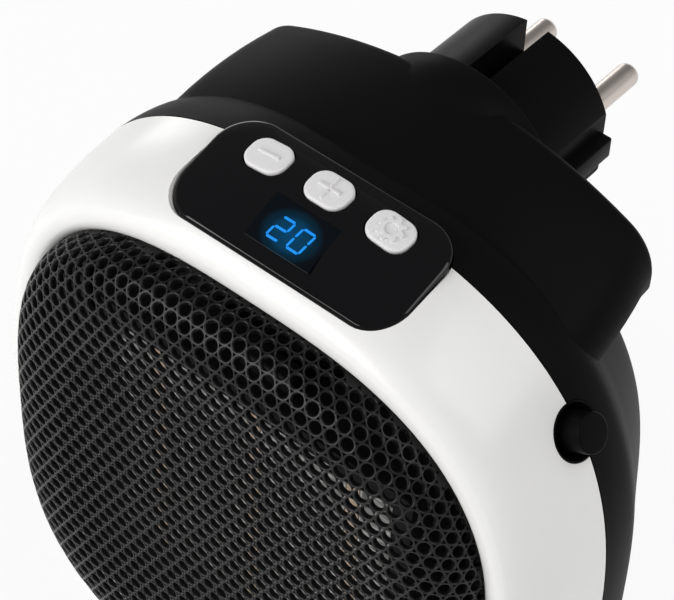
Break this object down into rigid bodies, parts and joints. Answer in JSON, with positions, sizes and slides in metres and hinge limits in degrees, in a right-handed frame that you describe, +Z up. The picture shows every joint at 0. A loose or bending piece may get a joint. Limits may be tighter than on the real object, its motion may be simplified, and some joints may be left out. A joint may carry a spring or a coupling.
{
  "type": "plug-in fan heater",
  "caption": "Small fan heater that plugs straight into a wall socket, with a domed grille, a control panel with display, and a plug that turns.",
  "frame": {"origin": "centre of the plug's end face, where it meets the wall socket", "axes": "+Y out of the back along the plug's pins, into the wall; +Z up; +X to the right seen from the front"},
  "size_m": [0.1268, 0.1079, 0.1377],
  "materials": {
    "gloss_white": "gloss",
    "button_white": "satin",
    "gloss_black": "high gloss",
    "grille_black": "satin",
    "matt_black": "fine matt",
    "smoked_window": "high gloss",
    "lit_display": "lit",
    "circuit_board": "lacquered",
    "nickel": "satin",
    "steel": "satin",
    "fin_aluminium": "mill",
    "heating_ceramic": "matt",
    "heat_plastic": "matt"
  },
  "bodies": {
    "plug": {"plug_body": "matt_black", "plug_pin_left": "nickel", "plug_pin_right": "nickel", "plug_retainer": "heat_plastic"},
    "case": {"front_ring": "gloss_white", "front_grille": "grille_black", "housing": "matt_black", "intake_grille": "matt_black", "case_screw_1": "steel", "case_screw_2": "steel", "case_screw_3": "steel", "case_screw_4": "steel", "control_panel": "gloss_black", "display_window": "smoked_window", "display_module": "lit_display", "control_board": "circuit_board", "tact_switch_minus": "matt_black", "tact_switch_plus": "matt_black", "tact_switch_settings": "matt_black", "switch_bezel": "matt_black", "switch_body": "matt_black", "ptc_frame": "heat_plastic", "ptc_strip_left": "heating_ceramic", "ptc_strip_centre": "heating_ceramic", "ptc_strip_right": "heating_ceramic", "heat_fins_1": "fin_aluminium", "heat_fins_2": "fin_aluminium", "heat_fins_3": "fin_aluminium", "heat_fins_4": "fin_aluminium", "thermal_cutout": "heat_plastic", "fan_shroud": "heat_plastic", "fan_motor": "steel"},
    "minus_button": {"button_minus": "button_white"},
    "plus_button": {"button_plus": "button_white"},
    "settings_button": {"button_settings": "button_white"},
    "power_button": {"switch_button": "matt_black"},
    "fan": {"fan_impeller": "heat_plastic"}
  },
  "joints": [
    {"name": "plug_turn", "type": "hinge", "parent": "plug", "child": "case", "pos_m": [0, 0, 0], "axis": [0, 1, 0], "range_deg": [-90, 90]},
    {"name": "minus_press", "type": "slide", "parent": "case", "child": "minus_button", "axis": [0.1264, 0.1606, -0.9789], "range_m": [0, 0.0006], "stiffness_N_per_m": 300, "springref_m": -0.001},
    {"name": "plus_press", "type": "slide", "parent": "case", "child": "plus_button", "axis": [0, 0.1606, -0.987], "range_m": [0, 0.0006], "stiffness_N_per_m": 300, "springref_m": -0.001},
    {"name": "settings_press", "type": "slide", "parent": "case", "child": "settings_button", "axis": [-0.1264, 0.1606, -0.9789], "range_m": [0, 0.0006], "stiffness_N_per_m": 300, "springref_m": -0.001},
    {"name": "power_press", "type": "slide", "parent": "case", "child": "power_button", "axis": [-0.8387, 0, -0.5446], "range_m": [0, 0.0015], "stiffness_N_per_m": 400, "springref_m": -0.002},
    {"name": "fan_spin", "type": "hinge", "parent": "case", "child": "fan", "pos_m": [0, -0.0545, -0.0554], "axis": [0, 1, 0], "continuous": true}
  ]
}
